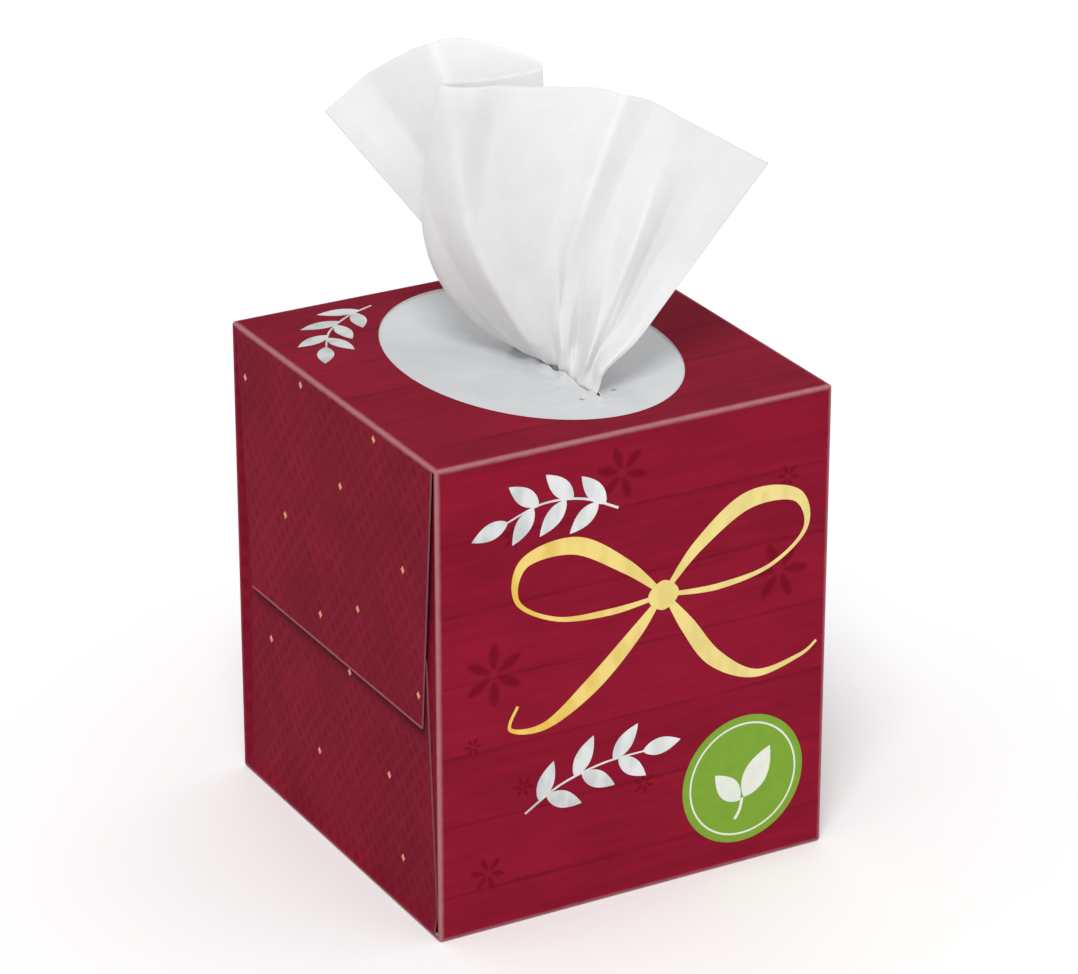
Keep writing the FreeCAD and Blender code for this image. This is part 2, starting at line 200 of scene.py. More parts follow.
class Wiring:
    """Adds nodes to a shader tree and joins them as they are made."""

    def __init__(self, tree):
        self.tree = tree

    def feed(self, socket, value):
        """Links a socket to a value of the tree, or sets it to a plain one."""
        if isinstance(value, Value):
            self.tree.links.new(value.socket, socket)
        else:
            socket.default_value = value

    def node(self, kind, inputs=None, **settings):
        made = self.tree.nodes.new(kind)
        for name, value in settings.items():
            setattr(made, name, value)
        for name, value in (inputs or {}).items():
            self.feed(made.inputs[name], value)
        return made

    def value(self, output, kind, inputs=None, **settings):
        """Adds a node and gives one of its outputs."""
        return Value(self, self.node(kind, inputs, **settings).outputs[output])

    def math(self, operation, *values, clamp=False):
        return self.value(0, "ShaderNodeMath", dict(enumerate(values)), operation=operation, use_clamp=clamp)

    def least(self, first, second):
        return self.math("MINIMUM", first, second)

    def most(self, first, second):
        return self.math("MAXIMUM", first, second)

    def distance(self, first, second):
        """The distance of a place from the middle, from its two coordinates."""
        return self.math("SQRT", first * first + second * second)

    def fade(self, value, low, high, start=0.0, end=1.0):
        """The value's smooth way from start at low to end at high."""
        return self.value(0, "ShaderNodeMapRange", {"Value": value, "From Min": low, "From Max": high,
                                                    "To Min": start, "To Max": end},
                          interpolation_type="SMOOTHSTEP")

    def mix(self, share, first, second, blend="MIX"):
        return self.value(2, "ShaderNodeMix", {0: share, 6: first, 7: second}, data_type="RGBA",
                          blend_type=blend)

    def noise(self, place, scale, detail=3.0, rough=0.5):
        return self.value("Fac", "ShaderNodeTexNoise", {"Vector": place, "Scale": scale, "Detail": detail,
                                                        "Roughness": rough})

    def vector(self, x, y, z=0.0):
        return self.value(0, "ShaderNodeCombineXYZ", {"X": x, "Y": y, "Z": z})

    def parts(self, vector):
        made = self.node("ShaderNodeSeparateXYZ", {"Vector": vector})
        return [Value(self, socket) for socket in made.outputs]

    def stretch(self, place, x, y, z):
        return self.value(0, "ShaderNodeVectorMath", {0: place, 1: (x, y, z)}, operation="MULTIPLY")

    def group(self, fill, **inputs):
        """Adds the shader group that a function fills, and gives its outputs."""
        made = self.node("ShaderNodeGroup", node_tree=group_tree(fill))
        for name, value in inputs.items():
            self.feed(made.inputs[name.capitalize()], value)
        return [Value(self, socket) for socket in made.outputs]


def group_tree(fill):
    """The shader group that a function fills, built the first time that it is asked for.

    The function's name and parameters name the group and its inputs. A parameter with a default
    is a number, and one without is a place. The function gives the group's outputs by name.
    """
    name = fill.__name__.replace("_", " ").capitalize()
    tree = bpy.data.node_groups.get(name)
    if tree is not None:
        return tree
    tree = bpy.data.node_groups.new(name, "ShaderNodeTree")
    for label, parameter in list(inspect.signature(fill).parameters.items())[1:]:
        is_place = parameter.default is parameter.empty
        kind = "NodeSocketVector" if is_place else "NodeSocketFloat"
        socket = tree.interface.new_socket(label.capitalize(), in_out="INPUT", socket_type=kind)
        if not is_place:
            socket.default_value = parameter.default
    w = Wiring(tree)
    entry = [socket for socket in w.node("NodeGroupInput").outputs if socket.name]
    found = fill(w, *(Value(w, socket) for socket in entry))
    for label in found:
        tree.interface.new_socket(label, in_out="OUTPUT", socket_type="NodeSocketFloat")
    w.node("NodeGroupOutput", found)
    return tree


def fold_wear(w, place, reach=1.25):
    """Rubbed print and a painted highlight: 1 on a fold of the carton, fading to 0 a little way off."""
    x, y, z = w.parts(place)
    from_x = HALF_WIDTH - abs(x)
    from_y = HALF_DEPTH - abs(y)
    from_z = w.least(z, HEIGHT - z)
    nearest = w.least(w.least(from_x, from_y), from_z)
    farthest = w.most(w.most(from_x, from_y), from_z)
    # The nearest face is the one that the print lies on, so the second nearest tells how far the fold is
    off = from_x + from_y + from_z - nearest - farthest
    ragged = off + (w.noise(place, 0.35, 4.0, 0.7) * 0.5 - 0.25)
    return {"Mask": w.fade(ragged, reach * 0.1, reach * 1.2, 1.0, 0.0)}


def board_grain(w, place, gloss=0.4):
    """Varnished board: a fine height and a soft change of gloss."""
    fibres = w.noise(w.stretch(place, 1.6, 1.6, 3.4), 1.0, 4.0, 0.6)
    swell = w.noise(place, 0.05, 2.0, 0.5)
    return {"Height": fibres * 0.03 + swell * 0.5, "Roughness": gloss + (fibres * 0.12 - 0.06)}


def planks(w, across=0.0, up=0.0, plank=19.0):
    """Printed planks: dark seams, grain along the plank, and a tone for each plank."""
    lowest_seam = 12.0
    drift = w.noise(w.vector(across * 0.03, up), 1.0, 2.0) * 1.6 - 0.8
    level = (up - lowest_seam + drift) / plank
    row = w.math("FLOOR", level)
    share = level - row
    line = w.fade(w.least(share, 1.0 - share) * plank, 0.15, 0.75, 1.0, 0.0)
    broken = w.fade(w.noise(w.vector(across * 0.06, row), 1.0, 2.0), 0.35, 0.62)
    grain = w.noise(w.vector(across * 0.035, up * 0.38, row), 1.0, 5.0, 0.62)
    blots = w.noise(w.vector(across * 0.05, up * 0.09, 7.0), 1.0, 3.0, 0.5)
    own_shade = w.value("Value", "ShaderNodeTexWhiteNoise", {"W": row}, noise_dimensions="1D")
    return {"Seam": line * (broken * 0.75 + 0.25), "Tone": grain * 0.5 + blots * 0.38 + own_shade * 0.1}


def snowflake(w, across=0.0, up=0.0, radius=8.0, turn=0.0):
    """One snowflake of six soft petals: 1 inside, 0 outside."""
    far = w.distance(across, up) / radius
    angle = w.math("ARCTAN2", up, across) + turn
    folded = w.math("PINGPONG", angle + 4 * math.pi, math.pi / 6)
    out = far * w.math("COSINE", folded)
    side = far * w.math("SINE", folded)
    swell = w.math("POWER", w.most(out, 0.0), 1.3, clamp=True)
    petal = w.math("SINE", swell * math.pi) * 0.15 - side
    return {"Mask": w.fade(petal, -0.09, 0.08) * w.fade(far, 0.86, 1.04, 1.0, 0.0) * w.fade(far, 0.08, 0.24)}


def lattice(w, across=0.0, up=0.0, pitch=5.0):
    """Tone-on-tone lattice of diamonds, with a small leaf in each."""
    beside = across / pitch
    above = up / (pitch * 1.2)
    rising, falling = (w.math("FRACT", slant + 100.0) - 0.5 for slant in (beside + above, beside - above))
    lines = [w.fade(0.5 - abs(cell), 0.02, 0.17, 1.0, 0.0) for cell in (rising, falling)]
    leaf = abs((rising - falling) * 2.1) ** 2.0 + abs((rising + falling) * 2.3) ** 2.0
    return {"Lines": w.most(*lines), "Leaves": w.fade(leaf, 0.35, 1.2, 1.0, 0.0)}


def tissue_fibre(w, place, crepe=1.0):
    """Soft tissue: a crepe height from pressing, and faint thick and thin places."""
    return {"Height": w.noise(w.stretch(place, 1.1, 1.1, 2.6), crepe * 0.9, 4.0, 0.65),
            "Cloud": w.noise(place, 0.11, 4.0, 0.55)}


def shaded(colour, share):
    """A colour made darker, or lighter with a share over 1."""
    return [min(1.0, channel * share) for channel in colour[:3]] + [1]


class Finish(Wiring):
    """A material's tree, begun with its shader and the object's place in millimetres."""

    def __init__(self, name):
        self.material = bpy.data.materials.new(name)
        self.material.use_nodes = True
        super().__init__(self.material.node_tree)
        self.tree.nodes.clear()
        self.shader = self.node("ShaderNodeBsdfPrincipled")
        self.node("ShaderNodeOutputMaterial", {"Surface": Value(self, self.shader.outputs[0])})
        self.place = self.stretch(self.value("Object", "ShaderNodeTexCoord"), 1000, 1000, 1000)

    def set(self, **inputs):
        """Sets or links the shader's sockets, each named in lower case with underscores."""
        for name, value in inputs.items():
            self.feed(self.shader.inputs[name.replace("_", " ").title().replace("Ior", "IOR")], value)

    def bump(self, height, strength, distance):
        self.set(normal=self.value(0, "ShaderNodeBump", {"Height": height, "Strength": strength,
                                                         "Distance": distance}))

    def grain(self, gloss, strength=0.35):
        """Adds the board's grain."""
        height, roughness = self.group(board_grain, place=self.place, gloss=gloss)
        self.set(roughness=roughness)
        self.bump(height, strength, 0.0002)

    def varnish(self, colour):
        """Sets a printed colour under the varnish."""
        self.set(base_color=colour, specular_ior_level=0.3, ior=1.07)
        self.grain(0.42)


def worn(w, look, colour):
    """Mixes the rubbed print and painted highlight of the folds into a colour."""
    return w.mix(w.group(fold_wear, place=w.place, reach=look.rub / MM)[0], colour, look.fold_tint)


# Place across and down from the panel's top left corner, radius and turn of each snowflake
FRONT_FLAKES = [
    (51.0, 11.0, 7.6, 0.25), (15.5, 57.0, 9.0, 0.52), (96.5, 47.0, 8.8, 0.1), (21.0, 21.5, 3.2, 0.3),
    (98.5, 22.0, 3.6, 0.2), (23.5, 89.5, 3.2, 0.1), (58.0, 97.0, 3.4, 0.4), (13.5, 111.0, 5.2, 0.2),
    (9.5, 75.0, 2.6, 0.0),
]


def planked_print(name, ink, look, flakes, front=True):
    """Print of planks, with snowflakes on the front and back panels."""
    w = Finish(name)
    x, y, z = w.parts(w.place)
    if front:
        across, up = HALF_WIDTH - x * w.math("SIGN", y), z
    else:
        across, up = x + HALF_WIDTH, y + HALF_DEPTH
    seam, tone = w.group(planks, across=across, up=up, plank=look.plank / MM)
    colour = w.mix(w.fade(tone, 0.32, 0.66), shaded(ink, 0.84), shaded(ink, 1.1))
    colour = w.mix(seam * 0.6, colour, shaded(ink, 0.55))
    mask = None
    for flake_across, down, radius, turn in flakes:
        [flake] = w.group(snowflake, across=across - flake_across, up=up - (HEIGHT - down), radius=radius,
                          turn=turn)
        mask = flake if mask is None else w.most(mask, flake)
    if mask is not None:
        colour = w.mix(mask * 0.78, colour, look.flake_ink)
    w.varnish(worn(w, look, colour))
    return w.material


def lattice_print(look):
    """Print of the ends: a lattice, rubbed along the top flap's edge, with a painted shadow under that edge.
    """
    w = Finish("lattice_print")
    x, y, z = w.parts(w.place)
    lines, leaves = w.group(lattice, across=y * w.math("SIGN", x) + HALF_DEPTH, up=z, pitch=look.lattice / MM)
    cloud = w.fade(w.noise(w.place, 0.045, 3.0, 0.6), 0.3, 0.7)
    colour = w.mix(cloud, shaded(look.side_ink, 0.86), shaded(look.side_ink, 1.1))
    patchy = w.fade(w.noise(w.place, 0.12, 3.0, 0.6), 0.3, 0.7)
    colour = w.mix(lines * (patchy * 0.19 + 0.09), colour, look.lattice_ink)
    colour = w.mix(leaves * (patchy * 0.40 + 0.12), colour, shaded(look.side_ink, 0.7))
    above = z - (HEIGHT - FLAP_DROP)
    inward = HALF_DEPTH - abs(y)
    outermost = w.fade(abs(x), HALF_WIDTH - 0.5, HALF_WIDTH - 0.3)
    rubbed_edge = (outermost * w.fade(above, 0.2, 0.9, 0.6, 0.0) * w.fade(above, -0.3, -0.1)
                   * w.fade(inward, 6.0, 6.8))
    colour = w.mix(rubbed_edge, colour, look.fold_tint)
    # Painted shadow: the print under the top flap's lower edge is darkened, most near the edge
    lee = ((1.0 - outermost) * w.fade(above, 0.3, 1.5, 1.0, 0.0) * w.fade(inward, 6.0, 10.0)
           * w.fade(above, -6.5, 0.3))
    colour = w.mix(lee ** 1.7 * 0.85, colour, shaded(look.side_ink, 0.2))
    w.varnish(worn(w, look, colour))
    return w.material


def bare_board(name, tint):
    """Unprinted board: pulp with short fibres."""
    w = Finish(name)
    pulp = w.fade(w.noise(w.stretch(w.place, 0.9, 0.9, 0.3), 1.0, 5.0, 0.7), 0.35, 0.65)
    w.set(base_color=w.mix(pulp, shaded(tint, 0.86), tint), specular_ior_level=0.2)
    w.grain(0.78, 0.6)
    return w.material


def foil(name, first, second, low, high, gloss):
    """Metallic foil with a painted reflection that runs from one colour at low to another at high across the
    panel, and patches of painted sheen.
    """
    w = Finish(name)
    x, _, z = w.parts(w.place)
    # Painted reflection: the foil's colour runs across the panel
    run = w.fade(x + z * 0.25, low, high)
    sheen = w.fade(w.noise(w.stretch(w.place, 0.22, 0.22, 0.1), 1.0, 2.0), 0.36, 0.64)
    pale = [min(1.0, channel * 1.25 + 0.05) for channel in second[:3]] + [1]
    w.set(base_color=w.mix(sheen * 0.38, w.mix(run, first, second), pale), metallic=0.45)
    w.grain(gloss, 0.2)
    return w.material


def inked(name, ink):
    """A flat ink over the board, with a little unevenness."""
    w = Finish(name)
    spread = w.fade(w.noise(w.place, 0.3, 4.0, 0.6), 0.3, 0.7)
    w.varnish(w.mix(spread, shaded(ink, 0.93), ink))
    return w.material


def tissue_finish(name, tint, crepe=1.0, edges=False):
    """Soft two-ply tissue, either one drawn sheet with painted light and shade, or the edges of many with
    painted shade between them.
    """
    w = Finish(name)
    height, thickness = w.group(tissue_fibre, place=w.place, crepe=crepe)
    cloud = w.fade(thickness, 0.3, 0.7)
    colour = w.mix(cloud, shaded(tint, 0.955), tint)
    if edges:
        # The sheets' edges run up the legs of the arch and bend round over its crest
        legs_top, sheets_per_mm = 78.0, 1.35
        _, y, z = w.parts(w.place)
        ring = w.distance(y, w.most(z - legs_top, 0.0))
        ply = w.math("FRACT", (ring + w.noise(w.place, 0.2, 3.0) * 1.2) * sheets_per_mm)
        slot = w.fade(abs(ply - 0.5), 0.28, 0.5)
        # Painted shade: the gaps between the sheets' edges are darkened, and the bump also sinks them
        colour = w.mix(slot * 0.5, colour, shaded(tint, 0.6))
        height = height - slot
    else:
        # Painted light and shade, read from the mesh, brighten or darken the drawn sheet
        pressed = w.value("Fac", "ShaderNodeAttribute", attribute_type="GEOMETRY", attribute_name="whiteness")
        white = pressed * 0.2 + 1.0
        colour = w.mix(1.0, colour, w.vector(white, white, white), blend="MULTIPLY")
    w.set(base_color=colour, roughness=w.fade(cloud, 0.0, 1.0, 0.88, 0.98), specular_ior_level=0.12,
          subsurface_weight=0.25, subsurface_scale=0.002, subsurface_radius=(1, 1, 1))
    w.bump(height, 0.25, 0.00025)
    return w.material


# Places of the two nicks in the film, painted dark as the shade seen through them
NICKS = ((-2.6, -32.4), (7.3, -30.8))


def film_finish(look):
    """Milky film, slightly creased, and a little paler on the right of the slit as painted light that lifts
    the tissue's shadow there.
    """
    w = Finish("milky_film")
    creases = w.noise(w.stretch(w.place, 0.05, 0.11, 0.1), 1.0, 3.0, 0.6)
    fine = w.noise(w.place, 0.7, 3.0, 0.6)
    cloud = w.fade(w.noise(w.place, 0.03, 2.0), 0.3, 0.7)
    x, y, _ = w.parts(w.place)
    # Painted light: the film is made paler to the right of the slit, where the tissue's shadow falls
    colour = w.mix(w.most(cloud * 0.75, w.fade(x, 4.0, 16.0)), look.tint, shaded(look.tint, 1.16))
    for nick_x, nick_y in NICKS:
        off = w.distance(x - nick_x, (y - nick_y) * 1.5)
        colour = w.mix(w.fade(off, 0.5, 1.0, 0.8, 0.0), colour, look.nick)
    w.set(base_color=colour, roughness=w.fade(fine, 0.2, 0.8, 0.3, 0.42), specular_ior_level=0.45, alpha=0.86)
    w.bump(creases + fine * 0.04, 0.3, 0.002)
    return w.material


# Meshes


def placed(name, data):
    """A new object in the scene."""
    made = bpy.data.objects.new(name, data)
    bpy.context.scene.collection.objects.link(made)
    return made


def shown(name, bm, material, smooth=False):
    """An object with the mesh that was built, its faces turned outward."""
    bmesh.ops.recalc_face_normals(bm, faces=bm.faces)
    mesh = bpy.data.meshes.new(name)
    bm.to_mesh(mesh)
    bm.free()
    if smooth:
        mesh.polygons.foreach_set("use_smooth", [True] * len(mesh.polygons))
    mesh.materials.append(material)
    return placed(name, mesh)


def new_piece(name, bm, material, slot, smooth=False):
    """A shown piece that rides on the carton."""
    piece = shown(name, bm, material, smooth)
    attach(piece, "root")
    return piece


def smooth_line(points, steps=14):
    """Points along a smooth line through the given ones, each with a width after its place."""
    ends = [points[0]] + list(points) + [points[-1]]
    line = []
    for k in range(1, len(ends) - 2):
        before, first, second, after = (Vector(p) for p in ends[k - 1:k + 3])
        for step in range(steps):
            t = step / steps
            line.append(0.5 * ((2 * first) + (second - before) * t
                               + (2 * before - 5 * first + 4 * second - after) * t * t
                               + (3 * first - before - 3 * second + after) * t ** 3))
    line.append(Vector(ends[-2]))
    return line


class Panel:
    """A face of the carton, on which ornaments are laid out across and down from its top left corner."""

    def __init__(self, which):
        self.which = which

    def point(self, across, down, height):
        if self.which == "front":
            return Vector((across - HALF_WIDTH, -HALF_DEPTH - height, HEIGHT - down)) * MM
        if self.which == "top":
            return Vector((across - HALF_WIDTH, HALF_DEPTH - down, HEIGHT + height)) * MM
        layer = 0.0 if down < FLAP_DROP else FLAP_STEP
        if self.which == "left":
            return Vector((-HALF_WIDTH + layer - height, HALF_DEPTH - across, HEIGHT - down)) * MM
        return Vector((HALF_WIDTH - layer + height, across - HALF_DEPTH, HEIGHT - down)) * MM

    def plate(self, bm, outline, height):
        """A thin plate with the given outline, lying on the panel."""
        rim = [bm.verts.new(self.point(across, down, height)) for across, down in outline]
        foot = [bm.verts.new(self.point(across, down, 0.0)) for across, down in outline]
        bm.faces.new(rim)
        for k in range(len(rim)):
            after = (k + 1) % len(rim)
            bm.faces.new([rim[k], rim[after], foot[after], foot[k]])

    def stroke(self, bm, points, height):
        """A pen stroke through points of (across, down, width)."""
        line = smooth_line(points)
        rows = []
        for k, p in enumerate(line):
            along = line[min(k + 1, len(line) - 1)] - line[max(k - 1, 0)]
            side = Vector((-along.y, along.x))
            if side.length > 1e-9:
                side.normalize()
            middle = Vector((p.x, p.y))
            left = middle + side * p.z / 2
            right = middle - side * p.z / 2
            rows.append([bm.verts.new(self.point(left.x, left.y, 0.0)),
                         bm.verts.new(self.point(left.x, left.y, height)),
                         bm.verts.new(self.point(middle.x, middle.y, height * 1.25)),
                         bm.verts.new(self.point(right.x, right.y, height)),
                         bm.verts.new(self.point(right.x, right.y, 0.0))])
        for one, two in zip(rows, rows[1:]):
            for k in range(4):
                bm.faces.new([one[k], two[k], two[k + 1], one[k + 1]])
        bm.faces.new(rows[0])
        bm.faces.new(rows[-1][::-1])


def leaf_outline(across, down, angle, size, breadth):
    """A pointed leaf that leaves (across, down) at an angle, in degrees up from the panel's right."""
    turn = math.radians(angle)
    out = Vector((math.cos(turn), -math.sin(turn)))
    side = Vector((-out.y, out.x))
    outline = []
    for sign in (1, -1):
        shares = [k / 12 for k in range(13)] if sign == 1 else [k / 12 for k in range(11, 0, -1)]
        for t in shares:
            half = breadth / 2 * math.sin(math.pi * t ** 0.85) ** 0.9 * sign
            p = Vector((across, down)) + out * (size * t) + side * half
            outline.append((p.x, p.y))
    return outline


def disc_outline(across, down, radius, count=96):
    return [(across + radius * math.cos(math.tau * k / count), down + radius * math.sin(math.tau * k / count))
            for k in range(count)]


# Operators


# Places of the carton's materials in its list
FRONT_PRINT, END_PRINT, TOP_PRINT, BARE_BOARD, CUT_EDGE = range(5)


def board_material(normal, centre):
    """Which material a face of the carton takes, by its normal and its middle."""
    outward = normal.x * centre.x > 0
    on_flaps = abs(centre.x) > HALF_WIDTH - FLAP_ZONE
    at_top = normal.z > 0.3 and centre.z > HEIGHT - FOLD_ZONE
    at_bottom = normal.z < -0.3 and centre.z < FOLD_ZONE
    at_front_or_back = normal.y * centre.y > 0 and abs(centre.y) > HALF_DEPTH - FOLD_ZONE
    if abs(normal.x) > 0.6 and outward and on_flaps:
        return END_PRINT
    if abs(normal.z) >= abs(normal.y) and (at_top or at_bottom):
        return TOP_PRINT
    if at_front_or_back and abs(normal.y) > 0.3:
        return FRONT_PRINT
    if abs(normal.x) > 0.3 and outward and on_flaps:
        return END_PRINT
    if abs(normal.x) < 0.5 and on_flaps:
        return CUT_EDGE
    return BARE_BOARD


class TISSUECARTON_OT_print_board(bpy.types.Operator):
    """Gives the carton its print, darker on the ends and top as painted shade, its rubbed folds with a
    painted highlight, a painted shadow under the top flaps, and its bare board
    """
    bl_idname = "tissuecarton.print_board"
    bl_label = "Print the carton"

    def execute(self, context):
        look = context.scene.carton_print
        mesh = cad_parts["carton"].data
        mesh.materials.clear()
        for material in (
            planked_print("front_print", look.front_ink, look, FRONT_FLAKES),
            lattice_print(look),
            planked_print("top_print", look.top_ink, look, [], front=False),
            bare_board("bare_board", look.board_tint),
            bare_board("cut_edge", look.cut_tint),
        ):
            mesh.materials.append(material)
        for face in mesh.polygons:
            face.material_index = board_material(face.normal, face.center / MM)
        return {"FINISHED"}


# Ribbon strokes of the bow, each through points of (across, down, width), and the bow's knot
RIBBONS = [
    [(62, 45, 1.2), (52, 36, 3.6), (38, 27.5, 4.6), (24, 29, 3.0), (22, 39, 1.3), (33, 46, 1.2),
     (48, 47.5, 1.8), (61, 46.5, 1.1)],
    [(64, 45, 1.2), (73, 35, 3.4), (87, 26, 4.8), (101, 27.5, 3.2), (104, 37, 1.3), (94, 45, 1.1),
     (79, 47.5, 1.7), (65, 46.5, 1.1)],
    [(62, 47, 1.2), (55, 55, 3.8), (43, 66, 4.6), (30, 74, 2.2), (20, 73, 1.0), (22, 67, 0.8)],
    [(64, 47, 1.2), (70, 56, 4.0), (78, 67, 4.4), (90, 74, 2.2), (103, 72, 1.1), (108, 69, 0.7)],
]
KNOT = (63, 46.3)
# Places across and down of the small marks on each end
MARKS = [
    (39.5, 3.6), (79, 3.6), (7.5, 13), (60.5, 23), (93.5, 32.5), (29, 43), (69, 53), (48, 63), (101, 63),
    (62, 73.5), (17, 83), (83, 93), (44, 103.5), (90, 113), (23.5, 122.5),
]


class TISSUECARTON_OT_gold_bow(bpy.types.Operator):
    """Lays a bow of gold ribbon strokes on the front panel, and small marks on the ends"""
    bl_idname = "tissuecarton.gold_bow"
    bl_label = "Lay the gold bow"

    def execute(self, context):
        look = context.scene.foil_ornaments
        foil_height = look.foil / MM
        panel = Panel("front")
        bm = bmesh.new()
        for number, points in enumerate(RIBBONS):
            panel.stroke(bm, points, foil_height * (1 + 0.5 * number))
        knot = [(KNOT[0] + 4.4 * math.cos(math.tau * k / 40) * (0.86 + 0.14 * math.cos(math.tau * k / 20)),
                 KNOT[1] + 4.0 * math.sin(math.tau * k / 40)) for k in range(40)]
        panel.plate(bm, knot, foil_height * 3.5)
        new_piece("gold_bow", bm, foil("gold_foil", look.gold, look.pale_gold, -40.0, 50.0, 0.34),
                  "printed_board")
        bm = bmesh.new()
        star = [(math.cos(k * math.tau / 8) * reach, 1.15 * math.sin(k * math.tau / 8) * reach)
                for k, reach in enumerate((1.0, 0.62) * 4)]
        for side in ("left", "right"):
            for across, down in MARKS:
                Panel(side).plate(bm, [(across + a, down + d) for a, d in star], foil_height)
        new_piece("gold_marks", bm, inked("rose_gold_mark", look.rose_gold), "printed_board")
        return {"FINISHED"}


# Sprigs: the panel, the stem's points of (across, down, width), and each leaf's place across and down,
# angle, size and breadth
SPRIGS = [
    ("front", [(24, 97, 0.62), (34, 91.5, 0.62), (46, 88.5, 0.55), (58, 88, 0.45)], [
        (28, 94.6, 68, 11, 4.6), (30, 93.5, -24, 11, 4.6), (38, 90.3, 62, 11.5, 4.8),
        (40, 89.8, -30, 11, 4.6), (49, 88.3, 50, 11, 4.6), (50.5, 88.2, -40, 10.5, 4.4),
        (57.5, 88, 4, 11, 4.6),
    ]),
    ("front", [(50, 20, 0.62), (40, 15.5, 0.62), (29, 14.5, 0.55), (19, 17.5, 0.45)], [
        (46.5, 18.2, 128, 11, 4.6), (44.5, 17.3, 220, 10.5, 4.5), (37.5, 15, 134, 11, 4.7),
        (35.5, 14.8, 228, 11, 4.6), (28, 14.7, 142, 10.5, 4.5), (26.5, 15, 236, 10.5, 4.5),
        (19.5, 17.3, 198, 10.5, 4.5),
    ]),
    ("top", [(36, 8, 0.62), (27, 12, 0.62), (18.5, 19, 0.55), (13, 28, 0.45)], [
        (32, 9.6, 168, 11.5, 4.4), (30, 10.6, 254, 10.5, 4.2), (24, 14.1, 182, 11.5, 4.4),
        (22, 15.8, 266, 10.5, 4.2), (17, 21, 200, 11, 4.2), (16, 22.7, 284, 10.5, 4.2),
        (13, 28, 242, 11, 4.3),
    ]),
]


class TISSUECARTON_OT_silver_sprigs(bpy.types.Operator):
    """Lays sprigs of silver leaves on the front and top panels"""
    bl_idname = "tissuecarton.silver_sprigs"
    bl_label = "Lay the silver sprigs"

    def execute(self, context):
        look = context.scene.foil_ornaments
        foil_height = look.foil / MM
        bm = bmesh.new()
        for which, stem, leaves in SPRIGS:
            panel = Panel(which)
            panel.stroke(bm, stem, foil_height)
            for number, leaf in enumerate(leaves):
                panel.plate(bm, leaf_outline(*leaf), foil_height * (1.6 + 0.3 * (number % 2)))
        new_piece("silver_sprigs", bm, foil("silver_foil", look.silver, look.pale_silver, -60.0, 60.0, 0.3),
                  "printed_board")
        return {"FINISHED"}


# Middle of the roundel, across and down, and the inner and outer radius of its ring
ROUNDEL = (87, 103)
RING = (15.2, 15.7)
# Leaves and stem on the roundel, each given as those of the sprigs are
ROUNDEL_LEAVES = [(87.4, 108.4, 60, 15, 7.2), (86.2, 109, 130, 11.5, 5.8)]
ROUNDEL_STEM = [(84.8, 114, 0.8), (86.2, 111.6, 0.8), (86.9, 108.4, 0.8)]


class TISSUECARTON_OT_green_roundel(bpy.types.Operator):
    """Lays the plain green roundel on the front panel"""
    bl_idname = "tissuecarton.green_roundel"
    bl_label = "Lay the green roundel"

    def execute(self, context):
        look = context.scene.foil_ornaments
        foil_height = look.foil / MM
        panel = Panel("front")
        bm = bmesh.new()
        panel.plate(bm, disc_outline(*ROUNDEL, look.roundel / MM), foil_height)
        new_piece("green_roundel", bm, inked("leaf_green", look.green), "printed_board")
        bm = bmesh.new()
        inner, outer = (disc_outline(*ROUNDEL, radius) for radius in RING)
        for k in range(len(inner)):
            after = (k + 1) % len(inner)
            panel.plate(bm, [inner[k], outer[k], outer[after], inner[after]], foil_height * 2)
        for number, leaf in enumerate(ROUNDEL_LEAVES):
            panel.plate(bm, leaf_outline(*leaf), foil_height * (2 + number))
        panel.stroke(bm, ROUNDEL_STEM, foil_height * 4)
        new_piece("roundel_leaf", bm, inked("roundel_white", look.leaf_white), "printed_board")
        return {"FINISHED"}


def slit_half(along, gape):
    """Half the slit's gape at a place along it, from -1 to 1."""
    return 0.3 + gape * max(0.0, 1 - along * along) ** 0.8


